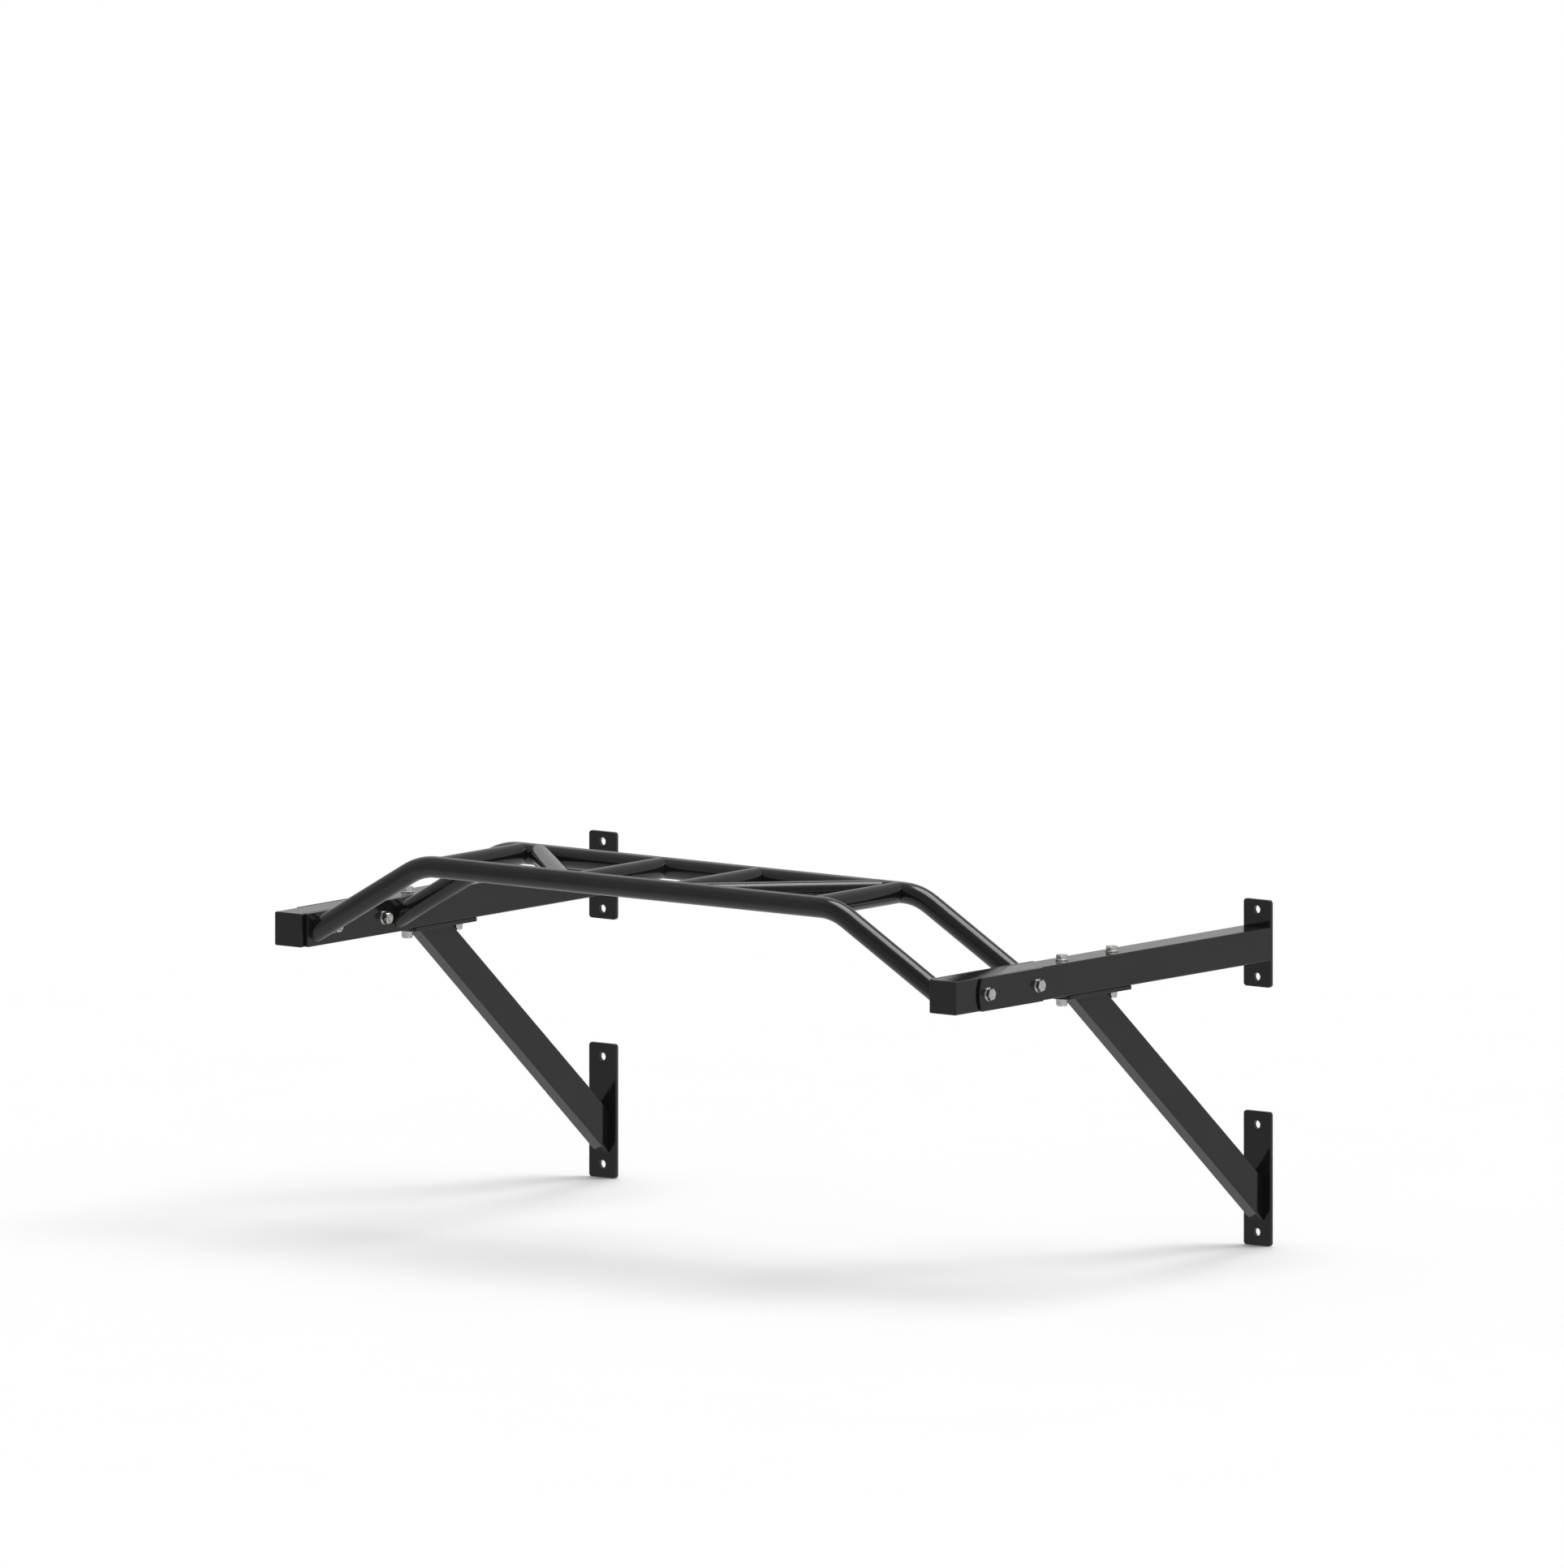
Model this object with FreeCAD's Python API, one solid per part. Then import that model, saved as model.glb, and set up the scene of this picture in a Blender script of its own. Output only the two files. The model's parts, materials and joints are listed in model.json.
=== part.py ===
import FreeCAD, Part
import math
import os
from FreeCAD import Rotation, Vector

# A pull up bar that is bolted to a wall, in millimetres.
# X runs along the wall, +X to the right when facing it.  The wall's surface is
# the plane Y = 0, and the bar stands out towards -Y.  Z is up.
# The origin is on the wall's surface, midway between the two arms, at the
# height of the arms' axes.

# Arms: square tubes that stand straight out from the wall.
ARM_SPACING = 1220.0
ARM_SIDE = 50.0
ARM_WALL = 3.0
ARM_CORNER_RADIUS = 2.5
ARM_BORE_CORNER_RADIUS = 0.8
ARM_REACH = 760.0

# Plastic caps that close the front ends of the arms.
CAP_HEAD_THICKNESS = 3.0
CAP_EDGE_RADIUS = 0.8
CAP_PLUG_DEPTH = 18.0
CAP_PLUG_WALL = 2.0
CAP_PLUG_CLEARANCE = 0.8
CAP_FIN_THICKNESS = 1.2
CAP_FIRST_FIN_DEPTH = 2.5
CAP_FIN_PITCH = 5.0
CAP_FIN_COUNT = 3

# Plates that lie on the wall, one pair behind the arms, one pair below.
WALL_PLATE_WIDTH = ARM_SIDE
WALL_PLATE_THICKNESS = 6.0
WALL_PLATE_CORNER_RADIUS = 5.0
WALL_HOLE_DIAMETER = 12.0
UPPER_PLATE_HEIGHT = 130.0
UPPER_HOLE_SPACING = 100.0
LOWER_PLATE_HEIGHT = 200.0
LOWER_HOLE_SPACING = 160.0

# Braces: flat rectangular tubes from the lower wall plates up to the arms.
BRACE_DEPTH = 50.0
BRACE_WIDTH = 25.0
BRACE_WALL = 2.0
BRACE_CORNER_RADIUS = 2.5
BRACE_BORE_CORNER_RADIUS = 0.5
BRACE_ANGLE = 40.0
# From the middle of the grip frame back to where a brace's axis ends, and from
# where a brace's axis meets its wall plate up to the middle of that plate.
BRACE_TOP_SETBACK = 208.6
BRACE_FOOT_BELOW_PLATE_MIDDLE = 30.82

# Bolted joints between the brace and the arm, and between the bar and the arm.
# A joint's plate is longer than its bolt spacing, and lies off the bolts' middle.
JOINT_PLATE_EXTRA_LENGTH = 40.0
JOINT_PLATE_END_RADIUS = 50.0
BRACE_TOP_PLATE_THICKNESS = 6.0
BRACE_BOLT_SPACING = 120.0
BRACE_BOLT_SETBACK = 6.9
BRACE_PLATE_OFFSET = -2.0
CLAMP_PLATE_THICKNESS = 4.0
CLAMP_PLATE_OFFSET = 0.0
CLAMP_WASHER_TO_RAIL_GAP = 14.0

# Grip frame: two bent rails side by side, joined by rungs and angled grips.
TUBE_DIAMETER = 32.0
TUBE_WALL = 3.0
RAIL_SPACING = 200.0
RAIL_SETBACK = 128.5
RAIL_RISE = 110.5
RAIL_END_DROP = 1.7
RAIL_SLOPE = 30.0
RAIL_BEND_RADIUS = 100.0
END_RUNG_INSET = 8.8
CENTRE_GRIP_OFFSET = 90.0
DIAGONAL_REAR_GAP = 6.4
DIAGONAL_FRONT_GAP = 8.4
# Turns a rung or grip about its own axis, which keeps its lengthwise seam off the rails' seams.
RUNG_SEAM_TURN = 45.0

# Plates that the rail ends are welded to.
SIDE_PLATE_END_MARGIN = 7.5
SIDE_PLATE_THICKNESS = 5.0
SIDE_PLATE_CORNER_RADIUS = 2.5

# M10 fasteners.
BOLT_DIAMETER = 10.0
BOLT_HOLE_CLEARANCE = 1.0
THREAD_PITCH = 1.5
THREAD_DEPTH = 0.9
THREAD_LENGTH = 26.0
THREAD_CLEARANCE = 0.1
HEX_RIM = 3.0
HEX_CHAMFER_ANGLE = 30.0
HEX_CORNER_SHARE = 0.95
HEAD_HEIGHT = 6.4
NUT_HEX_HEIGHT = 7.0
BRACE_HEX_TURN = 0.0
CLAMP_HEX_TURN = 38.4
WASHER_RIM = 4.5
WASHER_THICKNESS = 2.0
WASHER_EDGE_RADIUS = 0.3
RING_RIM = 1.3
NUT_COLLAR_HEIGHT = 3.0
NUT_COLLAR_WALL = 1.6
NUT_COLLAR_RADIUS = 1.0
NUT_LIP_THICKNESS = 0.8
NUT_LIP_BORE_CLEARANCE = 0.8
BOLT_END_SHOW = 0.5

# Small rounding left by the paint on the long edges of the flat plates.
PLATE_EDGE_RADIUS = 0.8

# How far a cutting body reaches past what it cuts.
OVERCUT = 40.0
# The largest cross product of two directions that still count as parallel.
PARALLEL_TOLERANCE = 1e-6

ORIGIN = Vector(0, 0, 0)
TOWARDS_WALL = Vector(0, 1, 0)
UP = Vector(0, 0, 1)
BOLT_HOLE_DIAMETER = BOLT_DIAMETER + BOLT_HOLE_CLEARANCE
HEX_ACROSS_FLATS = BOLT_DIAMETER + 2 * HEX_RIM
WASHER_DIAMETER = BOLT_HOLE_DIAMETER + 2 * WASHER_RIM
RING_DIAMETER = BOLT_DIAMETER + 2 * RING_RIM
NUT_COLLAR_DIAMETER = RING_DIAMETER + 2 * NUT_COLLAR_WALL

# Distances along X.  The rails' axes would come to a corner without their bends,
# and the tangent runs from that corner to each end of a bend.
SLOPE = math.radians(RAIL_SLOPE)
SIDE_PLATE_FACE = ARM_SPACING / 2 - ARM_SIDE / 2 - SIDE_PLATE_THICKNESS
RAIL_CORNER = SIDE_PLATE_FACE - (RAIL_RISE + RAIL_END_DROP) / math.tan(SLOPE)
RAIL_TANGENT = RAIL_BEND_RADIUS * math.tan(SLOPE / 2)
LEVEL_END = RAIL_CORNER - RAIL_TANGENT
END_RUNG_OFFSET = LEVEL_END - END_RUNG_INSET
DIAGONAL_HALF_WIDTH = TUBE_DIAMETER / math.sqrt(2)
DIAGONAL_REAR_OFFSET = END_RUNG_OFFSET - DIAGONAL_HALF_WIDTH - DIAGONAL_REAR_GAP
DIAGONAL_FRONT_OFFSET = CENTRE_GRIP_OFFSET + DIAGONAL_HALF_WIDTH + DIAGONAL_FRONT_GAP

# Distances from the wall, and along the arms.
RAIL_CENTRE_REACH = ARM_REACH - RAIL_SETBACK
SIDE_PLATE_LENGTH = RAIL_SPACING + TUBE_DIAMETER + 2 * SIDE_PLATE_END_MARGIN
CLAMP_BOLT_TO_RAIL = TUBE_DIAMETER / 2 + WASHER_DIAMETER / 2 + CLAMP_WASHER_TO_RAIL_GAP
CLAMP_BOLT_SPACING = RAIL_SPACING - 2 * CLAMP_BOLT_TO_RAIL
BRACE_TOP_REACH = RAIL_CENTRE_REACH - BRACE_TOP_SETBACK
BRACE_BOLT_REACH = BRACE_TOP_REACH - BRACE_BOLT_SETBACK

# Heights below the arms' axes.
BRACE_TOP_DROP = ARM_SIDE / 2 + BRACE_TOP_PLATE_THICKNESS
BRACE_RUN = BRACE_TOP_REACH - WALL_PLATE_THICKNESS
BRACE_FOOT_DROP = BRACE_TOP_DROP + BRACE_RUN * math.tan(math.radians(BRACE_ANGLE))
LOWER_PLATE_DROP = BRACE_FOOT_DROP - BRACE_FOOT_BELOW_PLATE_MIDDLE
RAIL_REACHES = {
    "front": RAIL_CENTRE_REACH + RAIL_SPACING / 2,
    "rear": RAIL_CENTRE_REACH - RAIL_SPACING / 2,
}
SIDES = {"left": -1, "right": 1}


def save(shape, node):
    shape.exportStep(os.path.join("parts", node + ".step"))


def arm_axis(side):
    return side * ARM_SPACING / 2


def rounded_block(size_x, size_y, size_z, centre, radius, along):
    """A block about its centre, whose four edges along one direction are rounded."""
    corner = centre - Vector(size_x, size_y, size_z) / 2
    block = Part.makeBox(size_x, size_y, size_z, corner)
    edges = [edge for edge in block.Edges if is_parallel(edge, along)]
    return block.makeFillet(radius, edges)


def is_parallel(edge, direction):
    tangent = edge.tangentAt(edge.FirstParameter)
    return tangent.cross(direction).Length < PARALLEL_TOLERANCE


def bored(shape, diameter, point, direction, length):
    """The shape with a round hole that is centred on a point and runs both ways from it."""
    start = point - direction * (length / 2)
    return shape.cut(Part.makeCylinder(diameter / 2, length, start, direction))


def bolt_places(reach, spacing):
    """The two Y positions of a joint's bolts, from the distance of its middle to the wall."""
    return [-reach - spacing / 2, -reach + spacing / 2]


def clamp_bolt_places():
    return bolt_places(RAIL_CENTRE_REACH, CLAMP_BOLT_SPACING)


def brace_bolt_places():
    return bolt_places(BRACE_BOLT_REACH, BRACE_BOLT_SPACING)


def arm_tube(side):
    length = ARM_REACH - WALL_PLATE_THICKNESS
    centre = Vector(arm_axis(side), -ARM_REACH + length / 2, 0)
    bore_side = ARM_SIDE - 2 * ARM_WALL
    outside = rounded_block(ARM_SIDE, length, ARM_SIDE, centre, ARM_CORNER_RADIUS, TOWARDS_WALL)
    bore = rounded_block(
        bore_side, length + OVERCUT, bore_side, centre, ARM_BORE_CORNER_RADIUS, TOWARDS_WALL
    )
    tube = outside.cut(bore)
    for place in clamp_bolt_places():
        point = Vector(arm_axis(side), place, 0)
        tube = bored(tube, BOLT_HOLE_DIAMETER, point, Vector(1, 0, 0), ARM_SIDE + OVERCUT)
    for place in brace_bolt_places():
        point = Vector(arm_axis(side), place, 0)
        tube = bored(tube, BOLT_HOLE_DIAMETER, point, UP, ARM_SIDE + OVERCUT)
    return tube


def arm_end_cap(side):
    """A square head over the tube's end, and a hollow plug with fins that grip its inside."""
    axis = arm_axis(side)
    bore_side = ARM_SIDE - 2 * ARM_WALL
    plug_side = bore_side - 2 * CAP_PLUG_CLEARANCE
    hollow_side = plug_side - 2 * CAP_PLUG_WALL
    head_centre = Vector(axis, -ARM_REACH - CAP_HEAD_THICKNESS / 2, 0)
    plug_centre = Vector(axis, -ARM_REACH + CAP_PLUG_DEPTH / 2, 0)
    head = rounded_block(
        ARM_SIDE, CAP_HEAD_THICKNESS, ARM_SIDE, head_centre, ARM_CORNER_RADIUS, TOWARDS_WALL
    )
    front_edges = [
        edge for edge in head.Edges
        if edge.BoundBox.YMax < head_centre.y
    ]
    cap = head.makeFillet(CAP_EDGE_RADIUS, front_edges)
    plug_corner = ARM_BORE_CORNER_RADIUS
    plug = rounded_block(
        plug_side, CAP_PLUG_DEPTH, plug_side, plug_centre, plug_corner, TOWARDS_WALL
    )
    hollow = Part.makeBox(
        hollow_side, CAP_PLUG_DEPTH, hollow_side,
        plug_centre - Vector(hollow_side, CAP_PLUG_DEPTH, hollow_side) / 2,
    )
    for number in range(CAP_FIN_COUNT):
        fin_depth = CAP_FIRST_FIN_DEPTH + CAP_FIN_PITCH * number
        fin_centre = Vector(axis, -ARM_REACH + fin_depth + CAP_FIN_THICKNESS / 2, 0)
        fin = rounded_block(
            bore_side, CAP_FIN_THICKNESS, bore_side, fin_centre, ARM_BORE_CORNER_RADIUS,
            TOWARDS_WALL,
        )
        plug = plug.fuse(fin)
    return cap.fuse(plug.cut(hollow)).removeSplitter()


def outline_edges(plate, thin_direction):
    """A plate's edges around its two broad faces, without those of its round holes."""
    edges = []
    for edge in plate.Edges:
        is_hole = isinstance(edge.Curve, Part.Circle) and edge.isClosed()
        if not is_hole and not is_parallel(edge, thin_direction):
            edges.append(edge)
    return edges


def wall_plate(side, height, hole_spacing, centre_z):
    """A plate with round corners that lies on the wall, with a hole near its top and bottom."""
    axis = arm_axis(side)
    centre = Vector(axis, -WALL_PLATE_THICKNESS / 2, centre_z)
    plate = rounded_block(
        WALL_PLATE_WIDTH, WALL_PLATE_THICKNESS, height, centre, WALL_PLATE_CORNER_RADIUS,
        TOWARDS_WALL,
    )
    front_outline = [
        edge for edge in outline_edges(plate, TOWARDS_WALL)
        if edge.CenterOfMass.y < -WALL_PLATE_THICKNESS / 2
    ]
    plate = plate.makeFillet(PLATE_EDGE_RADIUS, front_outline)
    for way in (-1, 1):
        hole = centre + UP * (way * hole_spacing / 2)
        plate = bored(
            plate, WALL_HOLE_DIAMETER, hole, TOWARDS_WALL, WALL_PLATE_THICKNESS + OVERCUT
        )
    return plate


def upper_wall_plate(side):
    return wall_plate(side, UPPER_PLATE_HEIGHT, UPPER_HOLE_SPACING, 0)


def lower_wall_plate(side):
    return wall_plate(side, LOWER_PLATE_HEIGHT, LOWER_HOLE_SPACING, -LOWER_PLATE_DROP)


def joint_plate(thickness, bolt_spacing, offset):
    """A flat plate in the XY plane, as wide as an arm, long in Y, with an arc at each end.

    The origin is midway between its bolt holes, and its own middle lies off that
    by the offset, away from the wall.
    """
    half_width = ARM_SIDE / 2
    arc_height = JOINT_PLATE_END_RADIUS - math.sqrt(JOINT_PLATE_END_RADIUS**2 - half_width**2)
    tip = (bolt_spacing + JOINT_PLATE_EXTRA_LENGTH) / 2
    shoulder = tip - arc_height
    front_arc = Part.Arc(
        Vector(half_width, -shoulder, 0), Vector(0, -tip, 0), Vector(-half_width, -shoulder, 0)
    )
    rear_arc = Part.Arc(
        Vector(-half_width, shoulder, 0), Vector(0, tip, 0), Vector(half_width, shoulder, 0)
    )
    left_edge = Part.LineSegment(
        Vector(-half_width, -shoulder, 0), Vector(-half_width, shoulder, 0)
    )
    right_edge = Part.LineSegment(
        Vector(half_width, shoulder, 0), Vector(half_width, -shoulder, 0)
    )
    outline = [front_arc, left_edge, rear_arc, right_edge]
    wire = Part.Wire([line.toShape() for line in outline])
    plate = Part.Face(wire).extrude(UP * thickness)
    plate.translate(UP * (-thickness / 2))
    plate = plate.makeFillet(PLATE_EDGE_RADIUS, outline_edges(plate, UP))
    plate.translate(Vector(0, -offset, 0))
    for place in bolt_places(0, bolt_spacing):
        plate = bored(plate, BOLT_HOLE_DIAMETER, Vector(0, place, 0), UP, thickness + OVERCUT)
    return plate


def brace_top_plate(side):
    plate = joint_plate(BRACE_TOP_PLATE_THICKNESS, BRACE_BOLT_SPACING, BRACE_PLATE_OFFSET)
    height = -ARM_SIDE / 2 - BRACE_TOP_PLATE_THICKNESS / 2
    plate.translate(Vector(arm_axis(side), -BRACE_BOLT_REACH, height))
    return plate


def clamp_plate(side):
    plate = joint_plate(CLAMP_PLATE_THICKNESS, CLAMP_BOLT_SPACING, CLAMP_PLATE_OFFSET)
    plate.rotate(ORIGIN, TOWARDS_WALL, 90)
    offset = ARM_SIDE / 2 + CLAMP_PLATE_THICKNESS / 2
    plate.translate(Vector(arm_axis(side) + side * offset, -RAIL_CENTRE_REACH, 0))
    return plate


def brace_tube(side):
    """A rectangular tube that is cut flush with the lower wall plate and the brace top plate."""
    angle = math.radians(BRACE_ANGLE)
    foot = Vector(arm_axis(side), -WALL_PLATE_THICKNESS, -BRACE_FOOT_DROP)
    length = BRACE_RUN / math.cos(angle)
    overrun = BRACE_DEPTH / math.tan(angle)
    full_length = length + 2 * overrun
    centre = Vector(0, -length / 2, 0)
    outside = rounded_block(
        BRACE_WIDTH, full_length, BRACE_DEPTH, centre, BRACE_CORNER_RADIUS, TOWARDS_WALL
    )
    bore = rounded_block(
        BRACE_WIDTH - 2 * BRACE_WALL, full_length + OVERCUT, BRACE_DEPTH - 2 * BRACE_WALL,
        centre, BRACE_BORE_CORNER_RADIUS, TOWARDS_WALL,
    )
    tube = outside.cut(bore)
    tube.rotate(ORIGIN, Vector(1, 0, 0), -BRACE_ANGLE)
    tube.translate(foot)
    reach = BRACE_RUN + full_length
    room = Part.makeBox(
        BRACE_WIDTH + OVERCUT, reach, BRACE_FOOT_DROP - BRACE_TOP_DROP + full_length,
        Vector(foot.x - (BRACE_WIDTH + OVERCUT) / 2, foot.y - reach, foot.z - full_length),
    )
    return tube.common(room)


def side_plate(side):
    """The plate on an arm's inner face that the rail ends are welded to."""
    centre_x = side * (SIDE_PLATE_FACE + SIDE_PLATE_THICKNESS / 2)
    thin = Vector(1, 0, 0)
    plate = rounded_block(
        SIDE_PLATE_THICKNESS, SIDE_PLATE_LENGTH, ARM_SIDE,
        Vector(centre_x, -RAIL_CENTRE_REACH, 0), SIDE_PLATE_CORNER_RADIUS, thin,
    )
    plate = plate.makeFillet(PLATE_EDGE_RADIUS, outline_edges(plate, thin))
    for place in clamp_bolt_places():
        point = Vector(centre_x, place, 0)
        plate = bored(plate, BOLT_HOLE_DIAMETER, point, thin, SIDE_PLATE_THICKNESS + OVERCUT)
    return plate


def rail_rod(reach, diameter):
    """A round rod along a rail's bent axis, cut off at the side plates' faces.

    The axis meets both side plates a little below the arms' axes, rises at the
    rail's slope, and turns level through an arc near each end.
    """
    end = SIDE_PLATE_FACE + OVERCUT
    end_height = -RAIL_END_DROP - OVERCUT * math.tan(SLOPE)
    slope_start = RAIL_CORNER + RAIL_TANGENT * math.cos(SLOPE)
    slope_height = RAIL_RISE - RAIL_TANGENT * math.sin(SLOPE)
    crown = LEVEL_END + RAIL_BEND_RADIUS * math.sin(SLOPE / 2)
    crown_height = RAIL_RISE - RAIL_BEND_RADIUS * (1 - math.cos(SLOPE / 2))

    def at(x, z):
        return Vector(x, -reach, z)

    path = [
        Part.LineSegment(at(-end, end_height), at(-slope_start, slope_height)),
        Part.Arc(at(-slope_start, slope_height), at(-crown, crown_height), at(-LEVEL_END, RAIL_RISE)),
        Part.LineSegment(at(-LEVEL_END, RAIL_RISE), at(LEVEL_END, RAIL_RISE)),
        Part.Arc(at(LEVEL_END, RAIL_RISE), at(crown, crown_height), at(slope_start, slope_height)),
        Part.LineSegment(at(slope_start, slope_height), at(end, end_height)),
    ]
    axis = Part.Wire([line.toShape() for line in path])
    direction = Vector(math.cos(SLOPE), 0, math.sin(SLOPE))
    circle = Part.Circle(at(-end, end_height), direction, diameter / 2)
    rod = axis.makePipeShell([Part.Wire([circle.toShape()])], True, False)
    room_size = Vector(2 * SIDE_PLATE_FACE, 2 * diameter, 2 * RAIL_RISE + 2 * OVERCUT)
    room = Part.makeBox(
        room_size.x, room_size.y, room_size.z,
        Vector(-SIDE_PLATE_FACE, -reach - diameter, -RAIL_RISE),
    )
    return rod.common(room)


def rail(reach):
    bore = rail_rod(reach, TUBE_DIAMETER - 2 * TUBE_WALL)
    return rail_rod(reach, TUBE_DIAMETER).cut(bore)


def coped_tube(rear_x, front_x):
    """A round tube from rail to rail at the rails' height, its ends shaped to fit around them."""
    start = Vector(rear_x, -RAIL_REACHES["rear"], RAIL_RISE)
    end = Vector(front_x, -RAIL_REACHES["front"], RAIL_RISE)
    run = end - start
    outside = Part.makeCylinder(TUBE_DIAMETER / 2, run.Length, start, run)
    bore = Part.makeCylinder(TUBE_DIAMETER / 2 - TUBE_WALL, run.Length, start, run)
    tube = outside.cut(bore)
    tube.rotate(start, run, RUNG_SEAM_TURN)
    for reach in RAIL_REACHES.values():
        tube = tube.cut(rail_rod(reach, TUBE_DIAMETER))
    middle = (start + end) / 2
    pieces = sorted(tube.Solids, key=lambda piece: piece.CenterOfMass.distanceToPoint(middle))
    return pieces[0]


def end_rung(side):
    return coped_tube(side * END_RUNG_OFFSET, side * END_RUNG_OFFSET)


def centre_grip(side):
    return coped_tube(side * CENTRE_GRIP_OFFSET, side * CENTRE_GRIP_OFFSET)


def diagonal_grip(side):
    return coped_tube(side * DIAGONAL_REAR_OFFSET, side * DIAGONAL_FRONT_OFFSET)


def turned(profile):
    """A solid of revolution about Z from (radius, height) points."""
    points = [Vector(radius, 0, height) for radius, height in profile]
    face = Part.Face(Part.makePolygon(points + [points[0]]))
    return face.revolve(ORIGIN, UP, 360)


def chamfered_hexagon(across_flats, height):
    """A hexagonal prism that stands on the XY plane, with its upper corners chamfered.

    The chamfer leaves the corner share of the distance from the axis to a corner.
    """
    corner_radius = across_flats / math.sqrt(3)
    corners = []
    for number in range(6):
        angle = math.radians(60 * number)
        corners.append(Vector(corner_radius * math.cos(angle), corner_radius * math.sin(angle), 0))
    prism = Part.Face(Part.makePolygon(corners + [corners[0]])).extrude(UP * height)
    face_radius = corner_radius * HEX_CORNER_SHARE
    chamfer = (corner_radius - face_radius) * math.tan(math.radians(HEX_CHAMFER_ANGLE))
    envelope = turned([
        (0, 0),
        (corner_radius, 0),
        (corner_radius, height - chamfer),
        (face_radius, height),
        (0, height),
    ])
    return prism.common(envelope)


def bolt(length):
    """A hexagon bolt: the head stands on the XY plane, the shank hangs below it."""
    radius = BOLT_DIAMETER / 2
    root = radius - THREAD_DEPTH
    profile = [(0, 0), (radius, 0)]
    for number in range(int(THREAD_LENGTH / THREAD_PITCH)):
        height = -(length - THREAD_LENGTH) - number * THREAD_PITCH
        profile.append((radius, height))
        profile.append((root, height - THREAD_PITCH / 2))
    profile.append((root, -length))
    profile.append((0, -length))
    return chamfered_hexagon(HEX_ACROSS_FLATS, HEAD_HEIGHT).fuse(turned(profile))


def washer():
    """A plain washer that stands on the XY plane."""
    disc = Part.makeCylinder(WASHER_DIAMETER / 2, WASHER_THICKNESS)
    disc = disc.makeFillet(WASHER_EDGE_RADIUS, [
        edge for edge in disc.Edges if isinstance(edge.Curve, Part.Circle)
    ])
    return bored(disc, BOLT_HOLE_DIAMETER, ORIGIN, UP, OVERCUT)


def lock_nut():
    """A nut with its hexagon on the XY plane and a round collar above, hollowed for the ring."""
    collar_top = NUT_HEX_HEIGHT + NUT_COLLAR_HEIGHT
    ring_top = collar_top - NUT_LIP_THICKNESS
    collar = Part.makeCylinder(NUT_COLLAR_DIAMETER / 2, collar_top)
    collar = collar.makeFillet(NUT_COLLAR_RADIUS, [
        edge for edge in collar.Edges
        if isinstance(edge.Curve, Part.Circle) and edge.CenterOfMass.z > NUT_HEX_HEIGHT
    ])
    nut = chamfered_hexagon(HEX_ACROSS_FLATS, NUT_HEX_HEIGHT).fuse(collar)
    thread_radius = (BOLT_DIAMETER + THREAD_CLEARANCE) / 2
    lip_radius = (BOLT_DIAMETER + NUT_LIP_BORE_CLEARANCE) / 2
    bore = turned([
        (0, -OVERCUT),
        (thread_radius, -OVERCUT),
        (thread_radius, NUT_HEX_HEIGHT),
        (RING_DIAMETER / 2, NUT_HEX_HEIGHT),
        (RING_DIAMETER / 2, ring_top),
        (lip_radius, ring_top),
        (lip_radius, collar_top + OVERCUT),
        (0, collar_top + OVERCUT),
    ])
    return nut.cut(bore)


def lock_ring():
    """The nylon ring inside a lock nut's collar."""
    height = NUT_COLLAR_HEIGHT - NUT_LIP_THICKNESS
    ring = Part.makeCylinder(RING_DIAMETER / 2, height, UP * NUT_HEX_HEIGHT)
    return bored(ring, BOLT_DIAMETER + THREAD_CLEARANCE, ORIGIN, UP, 2 * OVERCUT)


def placed(shape, point, outward):
    """A copy of a fastener at a point, its +Z along a direction."""
    copy = shape.copy()
    turn = Rotation(UP, outward)
    copy.rotate(ORIGIN, turn.Axis, math.degrees(turn.Angle))
    copy.translate(point)
    return copy


def joint_fasteners(points, outward, stack, hex_turn):
    """Bolts, washers, lock nuts and rings at points on the outer face of a stack of parts."""
    inward = outward * -1
    grip = stack + 2 * WASHER_THICKNESS
    length = grip + NUT_HEX_HEIGHT + NUT_COLLAR_HEIGHT + BOLT_END_SHOW
    screw = bolt(length)
    nut = lock_nut()
    for piece in (screw, nut):
        piece.rotate(ORIGIN, UP, hex_turn)
    groups = {"bolts": [], "head_washers": [], "nut_washers": [], "lock_nuts": [], "lock_rings": []}
    for point in points:
        far_face = point + inward * stack
        nut_seat = far_face + inward * WASHER_THICKNESS
        groups["bolts"].append(placed(screw, point + outward * WASHER_THICKNESS, outward))
        groups["head_washers"].append(placed(washer(), point, outward))
        groups["nut_washers"].append(placed(washer(), far_face, inward))
        groups["lock_nuts"].append(placed(nut, nut_seat, inward))
        groups["lock_rings"].append(placed(lock_ring(), nut_seat, inward))
    return groups


def clamp_fasteners(side):
    """The horizontal bolts through the clamp plate, the arm and the side plate."""
    face = arm_axis(side) + side * (ARM_SIDE / 2 + CLAMP_PLATE_THICKNESS)
    points = [Vector(face, place, 0) for place in clamp_bolt_places()]
    stack = CLAMP_PLATE_THICKNESS + ARM_SIDE + SIDE_PLATE_THICKNESS
    return joint_fasteners(points, Vector(side, 0, 0), stack, CLAMP_HEX_TURN)


def brace_fasteners(side):
    """The upright bolts through the arm and the brace top plate."""
    points = [Vector(arm_axis(side), place, ARM_SIDE / 2) for place in brace_bolt_places()]
    stack = ARM_SIDE + BRACE_TOP_PLATE_THICKNESS
    return joint_fasteners(points, UP, stack, BRACE_HEX_TURN)


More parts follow.
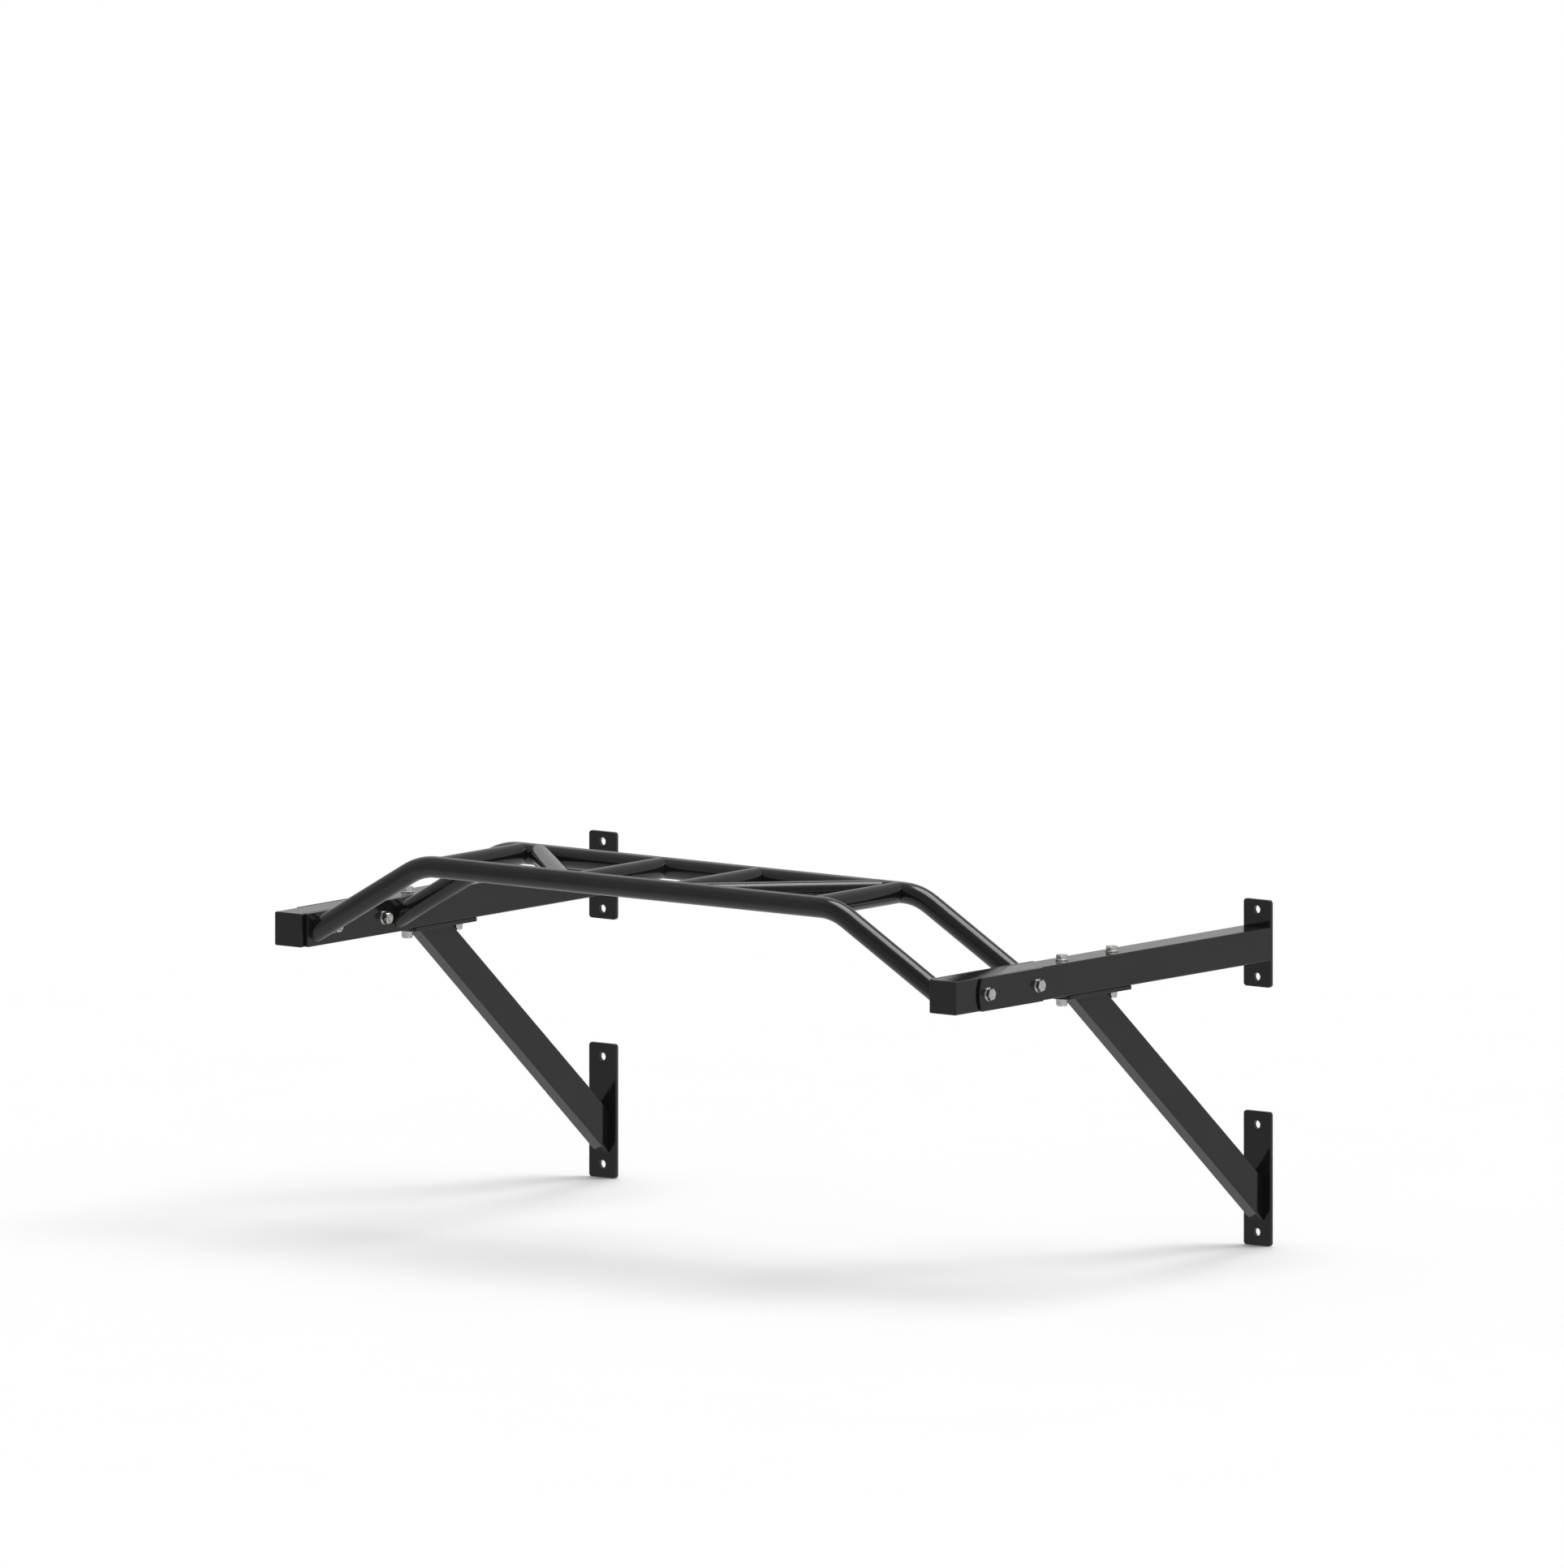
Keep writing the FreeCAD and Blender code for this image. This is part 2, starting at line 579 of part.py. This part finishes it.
def save_side(name, side):
    """Every piece that the object has once on the left and once on the right."""
    pieces = {
        "arm_tube": arm_tube,
        "arm_end_cap": arm_end_cap,
        "upper_wall_plate": upper_wall_plate,
        "lower_wall_plate": lower_wall_plate,
        "brace_tube": brace_tube,
        "brace_top_plate": brace_top_plate,
        "bar_side_plate": side_plate,
        "clamp_plate": clamp_plate,
        "end_rung": end_rung,
        "diagonal_grip": diagonal_grip,
        "centre_grip": centre_grip,
    }
    for piece, make in pieces.items():
        save(make(side), name + "_" + piece)
    joints = {"clamp": clamp_fasteners(side), "brace": brace_fasteners(side)}
    for joint, groups in joints.items():
        for group, solids in groups.items():
            save(Part.makeCompound(solids), "_".join([name, joint, group]))


os.makedirs("parts", exist_ok=True)
for rail_name, rail_reach in RAIL_REACHES.items():
    save(rail(rail_reach), rail_name + "_rail")
for side_name, side_sign in SIDES.items():
    save_side(side_name, side_sign)
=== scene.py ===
import json
import math
import bmesh
import bpy
from mathutils import Matrix, Vector


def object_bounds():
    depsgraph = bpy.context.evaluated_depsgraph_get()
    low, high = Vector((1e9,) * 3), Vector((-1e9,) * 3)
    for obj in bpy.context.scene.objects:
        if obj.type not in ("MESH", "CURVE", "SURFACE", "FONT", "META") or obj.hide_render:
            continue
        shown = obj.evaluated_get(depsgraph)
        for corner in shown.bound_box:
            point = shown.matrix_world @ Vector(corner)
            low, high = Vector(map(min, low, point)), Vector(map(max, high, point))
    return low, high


# The picture: an orthographic view, turned to the object's left and looking slightly down.
VIEW_AZIMUTH = math.radians(37.72)
VIEW_ELEVATION = math.radians(7.7253)
VIEW_SIZE = 2.3118
VIEW_CENTRE_RIGHT = -0.2213
VIEW_CENTRE_UP = 0.1837
VIEW_DISTANCE = 9.0
VIEW_DEPTH = 4 * VIEW_DISTANCE

# The room: a pale floor, a surround of soft light and one wide key light.
FLOOR_RADIUS = 9.0
FLOOR_RINGS = 24
FLOOR_SPOKES = 72
FLOOR_ALBEDO = 0.745
FLOOR_MOTTLE = 0.003
FLOOR_MOTTLE_SCALE = 3.0
# The floor turns to plain white between these distances from the object, in metres.
FLOOR_FADE = (1.9, 3.6)
# The surround's strength at the horizon, and what it gains from the first height to the second.
SURROUND = 0.50
SURROUND_BELOW = 0.19
BELOW_HEIGHTS = (-0.12, -0.60)
# Parts of the surround that differ from the rest. Each has an azimuth from +Y towards +X, an elevation,
# the radius of its full strength, the radius where it ends (all in degrees) and its change of strength.
PATCHES = (
    (-17.0, 79.0, 16.0, 24.0, 5.2),  # a large soft light overhead
    (-48.0, 34.0, 7.0, 17.0, 0.50),  # a smaller one high at the back left
    (-38.0, 8.0, 12.0, 34.0, 0.08),
    (38.0, -8.0, 12.0, 30.0, 0.035),
    (-142.0, -6.0, 12.0, 34.0, -0.08),
    (150.0, -6.0, 8.0, 22.0, -0.20),
    (122.0, -6.0, 10.0, 24.0, 0.30),
    (126.0, 37.0, 10.0, 28.0, -0.24),
    (-165.0, 42.0, 12.0, 34.0, -0.22),
)
KEY_DIRECTION = Vector((0.461, 0.390, 0.797))
KEY_ANGLE = math.radians(27.0)
KEY_STRENGTH = 1.0

# Noise fades over this range into a share from 0 to 1, so that both ends of a range of tones are met.
SHARE = (0.3, 0.7)
SPECK_SHARE = (0.70, 0.80)
IOR_PAINT = 1.5
IOR_CAP = 1.5
IOR_NYLON = 1.53

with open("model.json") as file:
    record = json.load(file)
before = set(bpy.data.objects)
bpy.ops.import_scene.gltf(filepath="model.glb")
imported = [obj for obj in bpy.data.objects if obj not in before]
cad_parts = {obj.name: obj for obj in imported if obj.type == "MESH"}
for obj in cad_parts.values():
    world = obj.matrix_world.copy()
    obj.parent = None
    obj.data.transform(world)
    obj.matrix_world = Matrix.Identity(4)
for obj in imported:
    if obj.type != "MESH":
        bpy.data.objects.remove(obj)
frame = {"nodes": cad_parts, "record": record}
cad_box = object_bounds()
scene = bpy.context.scene


class Tree:
    """Short calls that build a node tree."""

    def __init__(self, tree):
        self.tree = tree
        tree.nodes.clear()

    def add(self, kind, inputs=(), **settings):
        node = self.tree.nodes.new(kind)
        for name, value in settings.items():
            setattr(node, name, value)
        for key, value in dict(inputs).items():
            self.feed(node.inputs[key], value)
        return node

    def feed(self, socket, value):
        if isinstance(value, bpy.types.NodeSocket):
            self.tree.links.new(value, socket)
        else:
            socket.default_value = value

    def math(self, operation, first, second=0.0):
        return self.add("ShaderNodeMath", {0: first, 1: second}, operation=operation).outputs[0]

    def vector(self, operation, first, second, output):
        node = self.add("ShaderNodeVectorMath", {0: first, 1: second}, operation=operation)
        return node.outputs[output]

    def smooth(self, value, start, end, low=0.0, high=1.0):
        """value from start to end becomes low to high, with soft ends."""
        ranged = {"Value": value, "From Min": start, "From Max": end, "To Min": low, "To Max": high}
        return self.add("ShaderNodeMapRange", ranged, interpolation_type="SMOOTHSTEP").outputs[0]

    def noise(self, place, scale, detail=2.0, rough=0.5):
        fed = {"Vector": place, "Scale": scale, "Detail": detail, "Roughness": rough}
        return self.add("ShaderNodeTexNoise", fed).outputs["Fac"]

    def blend(self, share, first, second):
        """A colour between first and second."""
        node = self.add("ShaderNodeMix", data_type="RGBA")
        self.feed(node.inputs[0], share)
        self.feed(node.inputs[6], first)
        self.feed(node.inputs[7], second)
        return node.outputs[2]


def towards(azimuth, elevation):
    """Unit vector at an azimuth, from +Y towards +X, and an elevation, in degrees."""
    turn, lift = math.radians(azimuth), math.radians(elevation)
    level = math.cos(lift)
    return Vector((math.sin(turn) * level, math.cos(turn) * level, math.sin(lift)))


def make_camera():
    right = Vector((math.cos(VIEW_AZIMUTH), math.sin(VIEW_AZIMUTH), 0))
    back = Vector((math.sin(VIEW_AZIMUTH) * math.cos(VIEW_ELEVATION),
                   -math.cos(VIEW_AZIMUTH) * math.cos(VIEW_ELEVATION),
                   math.sin(VIEW_ELEVATION)))
    up = back.cross(right)
    camera = bpy.data.objects.new("camera", bpy.data.cameras.new("camera"))
    camera.data.type = "ORTHO"
    camera.data.ortho_scale = VIEW_SIZE
    camera.data.clip_end = VIEW_DEPTH
    turned = Matrix((right, up, back)).transposed().to_4x4()
    turned.translation = right * VIEW_CENTRE_RIGHT + up * VIEW_CENTRE_UP + back * VIEW_DISTANCE
    camera.matrix_world = turned
    scene.collection.objects.link(camera)
    scene.camera = camera


def make_surround():
    """Soft light from all round, with brighter and darker parts; what the camera sees is plain white."""
    world = bpy.data.worlds.new("surround")
    world.use_nodes = True
    tree = Tree(world.node_tree)
    direction = tree.add("ShaderNodeTexCoord").outputs["Generated"]
    height = tree.add("ShaderNodeSeparateXYZ", {0: direction}).outputs[2]
    light = tree.smooth(height, *BELOW_HEIGHTS, SURROUND, SURROUND + SURROUND_BELOW)
    for azimuth, elevation, full, outer, change in PATCHES:
        towards_patch = tree.vector("DOT_PRODUCT", direction, towards(azimuth, elevation), 1)
        share = tree.smooth(towards_patch, math.cos(math.radians(outer)),
                            math.cos(math.radians(full)), 0.0, change)
        light = tree.math("ADD", share, light)
    lit = tree.add("ShaderNodeBackground", {"Strength": light})
    seen = tree.add("ShaderNodeBackground", {"Strength": 1.0})
    for node in (lit, seen):
        node.inputs["Color"].default_value = (1, 1, 1, 1)
    camera_ray = tree.add("ShaderNodeLightPath").outputs["Is Camera Ray"]
    mixed = tree.add("ShaderNodeMixShader", {0: camera_ray, 1: lit.outputs[0], 2: seen.outputs[0]})
    tree.add("ShaderNodeOutputWorld", {"Surface": mixed.outputs[0]})
    scene.world = world


def make_key():
    """A wide light, high on the right behind the object, that draws the faint floor shadows."""
    lamp = bpy.data.lights.new("key", "SUN")
    lamp.energy = KEY_STRENGTH
    lamp.angle = KEY_ANGLE
    key = bpy.data.objects.new("key", lamp)
    key.rotation_mode = "QUATERNION"
    key.rotation_quaternion = KEY_DIRECTION.to_track_quat("Z", "Y")
    scene.collection.objects.link(key)


def floor_material():
    """White paper that only the camera sees, and only from above; it takes the shadows."""
    material = bpy.data.materials.new("floor")
    material.use_nodes = True
    tree = Tree(material.node_tree)
    place = tree.add("ShaderNodeTexCoord").outputs["Object"]
    reach = tree.vector("LENGTH", place, (0, 0, 0), 1)
    mottle = tree.noise(place, FLOOR_MOTTLE_SCALE, 3.0)
    albedo = tree.smooth(mottle, *SHARE, FLOOR_ALBEDO * (1 - FLOOR_MOTTLE), FLOOR_ALBEDO * (1 + FLOOR_MOTTLE))
    colour = tree.add("ShaderNodeCombineColor", {0: albedo, 1: albedo, 2: albedo}).outputs[0]
    paper = tree.add("ShaderNodeBsdfDiffuse", {"Color": colour}).outputs[0]
    white = tree.add("ShaderNodeEmission", {"Strength": 1.0}).outputs[0]
    far = tree.smooth(reach, *FLOOR_FADE)
    above = tree.add("ShaderNodeMixShader", {0: far, 1: paper, 2: white}).outputs[0]
    below = tree.add("ShaderNodeBsdfTransparent").outputs[0]
    underside = tree.add("ShaderNodeNewGeometry").outputs["Backfacing"]
    seen = tree.add("ShaderNodeMixShader", {0: underside, 1: above, 2: below}).outputs[0]
    camera_ray = tree.add("ShaderNodeLightPath").outputs["Is Camera Ray"]
    mixed = tree.add("ShaderNodeMixShader", {0: camera_ray, 1: below, 2: seen})
    tree.add("ShaderNodeOutputMaterial", {"Surface": mixed.outputs[0]})
    return material


def make_floor(lowest, middle):
    """A pale disc under the object, at the height of its lowest point."""
    mesh = bpy.data.meshes.new("floor")
    shape = bmesh.new()
    centre = shape.verts.new((0, 0, 0))
    rings = []
    for ring in range(1, FLOOR_RINGS + 1):
        radius = FLOOR_RADIUS * ring / FLOOR_RINGS
        rings.append([shape.verts.new((radius * math.cos(math.tau * spoke / FLOOR_SPOKES),
                                       radius * math.sin(math.tau * spoke / FLOOR_SPOKES), 0))
                      for spoke in range(FLOOR_SPOKES)])
    for spoke in range(FLOOR_SPOKES):
        after = (spoke + 1) % FLOOR_SPOKES
        shape.faces.new((centre, rings[0][spoke], rings[0][after]))
        for inner, outer in zip(rings, rings[1:]):
            shape.faces.new((inner[spoke], outer[spoke], outer[after], inner[after]))
    shape.to_mesh(mesh)
    shape.free()
    floor = bpy.data.objects.new("floor", mesh)
    floor.location = (middle.x, middle.y, lowest)
    floor.data.materials.append(floor_material())
    scene.collection.objects.link(floor)


def new_material(name):
    material = bpy.data.materials.new(name)
    material.use_nodes = True
    tree = Tree(material.node_tree)
    return material, tree, tree.add("ShaderNodeTexCoord").outputs["Object"]


def finish_material(tree, shader, bumps):
    """Adds the bumps, each (height, strength, distance in metres), and the output."""
    normal = None
    for height, strength, distance in bumps:
        fed = {"Height": height, "Strength": strength, "Distance": distance}
        if normal:
            fed["Normal"] = normal
        normal = tree.add("ShaderNodeBump", fed).outputs[0]
    tree.feed(shader.inputs["Normal"], normal)
    tree.add("ShaderNodeOutputMaterial", {"Surface": shader.outputs[0]})


def paint():
    """Black powder coat: semi-gloss, with a fine orange peel, faint cloudiness and small specks."""
    material, tree, place = new_material("black_powder_coat")
    peel = tree.noise(place, 300.0, 2.0, 0.5)
    grain = tree.noise(place, 900.0, 1.0)
    cloud = tree.noise(place, 9.0, 4.0, 0.6)
    speck = tree.smooth(tree.noise(place, 950.0, 1.0), *SPECK_SHARE)
    tone = tree.blend(tree.smooth(cloud, *SHARE), (0.0085, 0.0085, 0.0088, 1), (0.0125, 0.0125, 0.0128, 1))
    tone = tree.blend(tree.math("MULTIPLY", speck, 0.35), tone, (0.030, 0.030, 0.030, 1))
    gloss = tree.smooth(cloud, 0.25, 0.75, 0.015, 0.045)
    gloss = tree.math("ADD", gloss, tree.math("MULTIPLY", speck, 0.10))
    shader = tree.add("ShaderNodeBsdfPrincipled",
                      {"Base Color": tone, "Roughness": gloss, "IOR": IOR_PAINT})
    finish_material(tree, shader, ((peel, 0.80, 0.00013), (grain, 0.30, 0.00003)))
    return material


def cap_plastic():
    """Black moulded plastic with a fine spark-eroded grain."""
    material, tree, place = new_material("cap_plastic")
    grain = tree.noise(place, 620.0, 3.0, 0.6)
    cloud = tree.noise(place, 40.0, 3.0)
    tone = tree.blend(tree.smooth(grain, 0.35, 0.65), (0.001, 0.001, 0.001, 1), (0.021, 0.021, 0.021, 1))
    gloss = tree.smooth(cloud, *SHARE, 0.12, 0.18)
    shader = tree.add("ShaderNodeBsdfPrincipled",
                      {"Base Color": tone, "Roughness": gloss, "IOR": IOR_CAP})
    finish_material(tree, shader, ((grain, 0.70, 0.00014),))
    return material


def zinc():
    """Zinc-plated steel: satin, slightly mottled, with fine pits."""
    material, tree, place = new_material("zinc_plate")
    mottle = tree.noise(place, 260.0, 3.0, 0.6)
    pits = tree.noise(place, 1900.0, 2.0)
    tone = tree.blend(tree.smooth(mottle, *SHARE), (0.67, 0.66, 0.63, 1), (0.77, 0.757, 0.727, 1))
    gloss = tree.smooth(mottle, *SHARE, 0.12, 0.19)
    shader = tree.add("ShaderNodeBsdfPrincipled",
                      {"Base Color": tone, "Roughness": gloss, "Metallic": 1.0})
    finish_material(tree, shader, ((pits, 0.06, 0.00004),))
    return material


def nylon():
    """Off-white nylon of the locking rings, dull and faintly mottled."""
    material, tree, place = new_material("nylon")
    mottle = tree.noise(place, 500.0, 2.0)
    tone = tree.blend(tree.smooth(mottle, *SHARE), (0.46, 0.46, 0.45, 1), (0.56, 0.56, 0.54, 1))
    gloss = tree.smooth(mottle, *SHARE, 0.42, 0.55)
    shader = tree.add("ShaderNodeBsdfPrincipled",
                      {"Base Color": tone, "Roughness": gloss, "IOR": IOR_NYLON})
    finish_material(tree, shader, ((mottle, 0.10, 0.00005),))
    return material


def dress_nodes():
    """Every CAD node gets the finish that its slot in the record asks for."""
    finishes = {"black_paint": paint(), "plastic_cap": cap_plastic(), "zinc": zinc(), "nylon": nylon()}
    for part in frame["record"]["subparts"]:
        node = frame["nodes"][part["node"]]
        for material_slot in node.material_slots:
            material_slot.material = finishes[part["material_slot"]]


scene.view_settings.view_transform = "Standard"
make_camera()
make_surround()
make_key()
low, high = cad_box
make_floor(low.z, (low + high) / 2)
dress_nodes()
